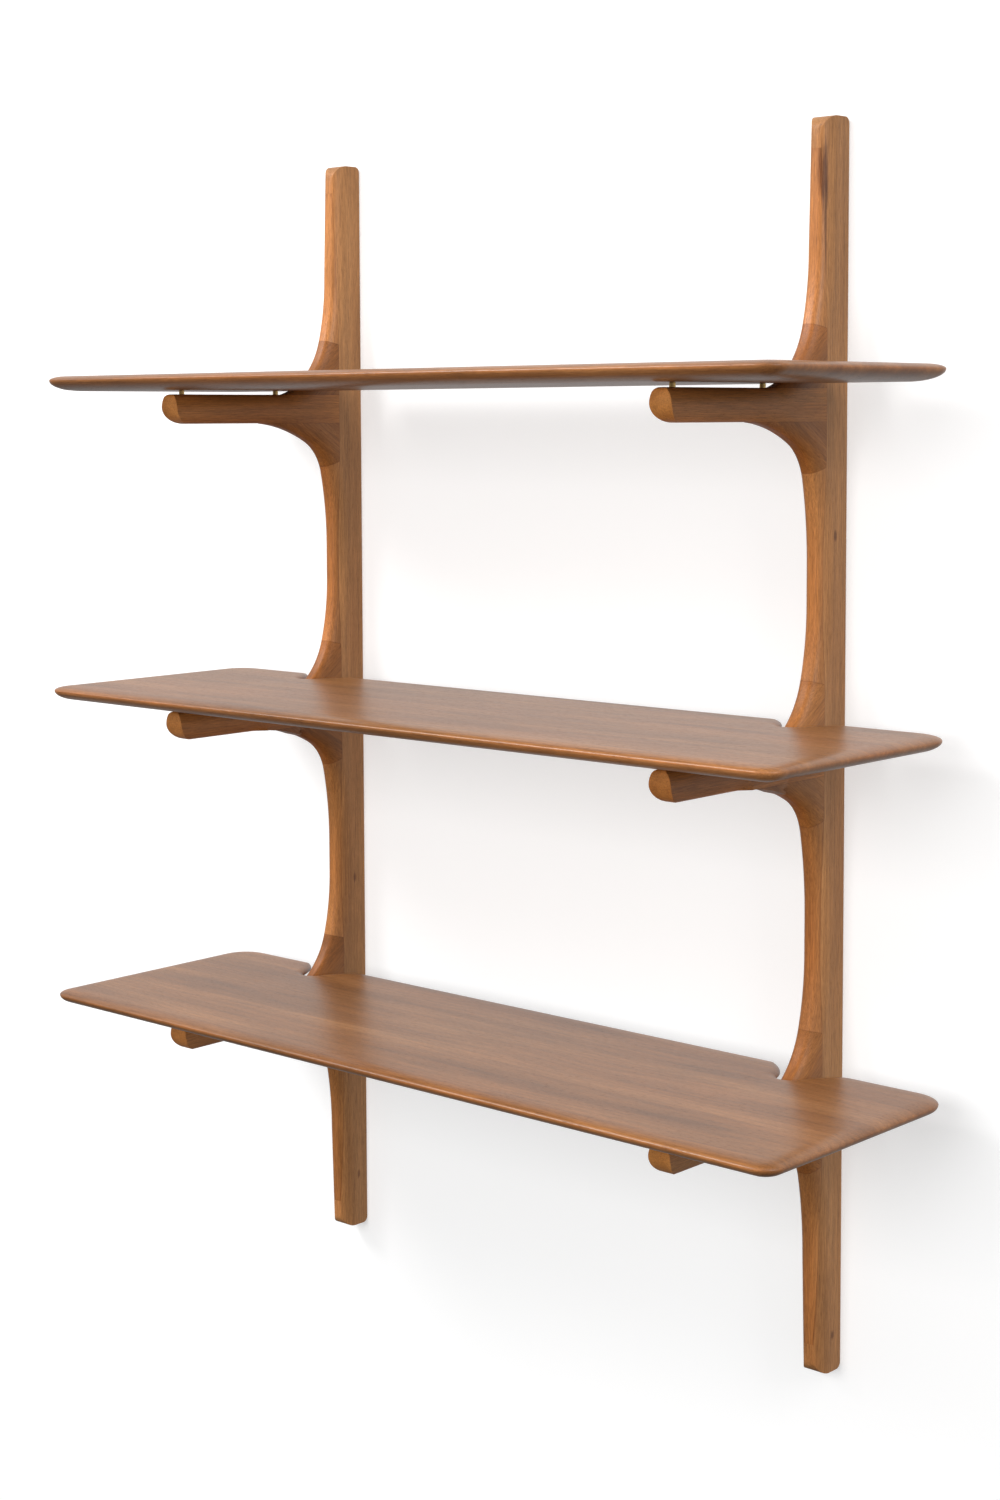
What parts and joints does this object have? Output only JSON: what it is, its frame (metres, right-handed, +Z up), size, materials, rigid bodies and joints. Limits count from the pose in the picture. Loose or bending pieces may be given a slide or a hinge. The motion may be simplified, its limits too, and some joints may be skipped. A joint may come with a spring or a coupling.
{
  "type": "wall shelf",
  "caption": "Wall-hung wooden shelf: upright posts with arms that flare out of them carry thin-edged boards, which rest on brass studs.",
  "frame": {"origin": "centre of the rectangle of wall fixing holes, in the wall plane, half-way up the uprights", "axes": "+X along the wall to the right seen from the room, -Y out of the wall into the room, +Z up"},
  "size_m": [1, 0.335, 1.26],
  "materials": {
    "rail_wood": "satin varnish",
    "front_wood": "satin varnish",
    "flare_wood": "satin varnish",
    "arm_wood": "satin varnish",
    "board_wood": "satin varnish",
    "stud_brass": "polished",
    "hanger_steel": "zinc plated"
  },
  "bodies": {
    "wall_frame": {"rail_left": "rail_wood", "rail_right": "rail_wood", "strip_top_left": "front_wood", "strip_upper_left": "front_wood", "strip_lower_left": "front_wood", "strip_bottom_left": "front_wood", "strip_top_right": "front_wood", "strip_upper_right": "front_wood", "strip_lower_right": "front_wood", "strip_bottom_right": "front_wood", "upper_flare_top_left": "flare_wood", "upper_flare_middle_left": "flare_wood", "upper_flare_bottom_left": "flare_wood", "upper_flare_top_right": "flare_wood", "upper_flare_middle_right": "flare_wood", "upper_flare_bottom_right": "flare_wood", "arm_top_left": "arm_wood", "arm_middle_left": "arm_wood", "arm_bottom_left": "arm_wood", "arm_top_right": "arm_wood", "arm_middle_right": "arm_wood", "arm_bottom_right": "arm_wood", "lower_flare_top_left": "flare_wood", "lower_flare_middle_left": "flare_wood", "lower_flare_bottom_left": "flare_wood", "lower_flare_top_right": "flare_wood", "lower_flare_middle_right": "flare_wood", "lower_flare_bottom_right": "flare_wood", "studs_top": "stud_brass", "studs_middle": "stud_brass", "studs_bottom": "stud_brass", "hanger_top_left": "hanger_steel", "hanger_bottom_left": "hanger_steel", "hanger_top_right": "hanger_steel", "hanger_bottom_right": "hanger_steel", "hanger_screws": "hanger_steel"},
    "board_top": {"board_top": "board_wood"},
    "board_middle": {"board_middle": "board_wood"},
    "board_bottom": {"board_bottom": "board_wood"}
  },
  "joints": [
    {"name": "board_top_lift", "type": "slide", "parent": "wall_frame", "child": "board_top", "axis": [0, 0, 1], "range_m": [0, 0.05]},
    {"name": "board_middle_lift", "type": "slide", "parent": "wall_frame", "child": "board_middle", "axis": [0, 0, 1], "range_m": [0, 0.05]},
    {"name": "board_bottom_lift", "type": "slide", "parent": "wall_frame", "child": "board_bottom", "axis": [0, 0, 1], "range_m": [0, 0.05]}
  ]
}
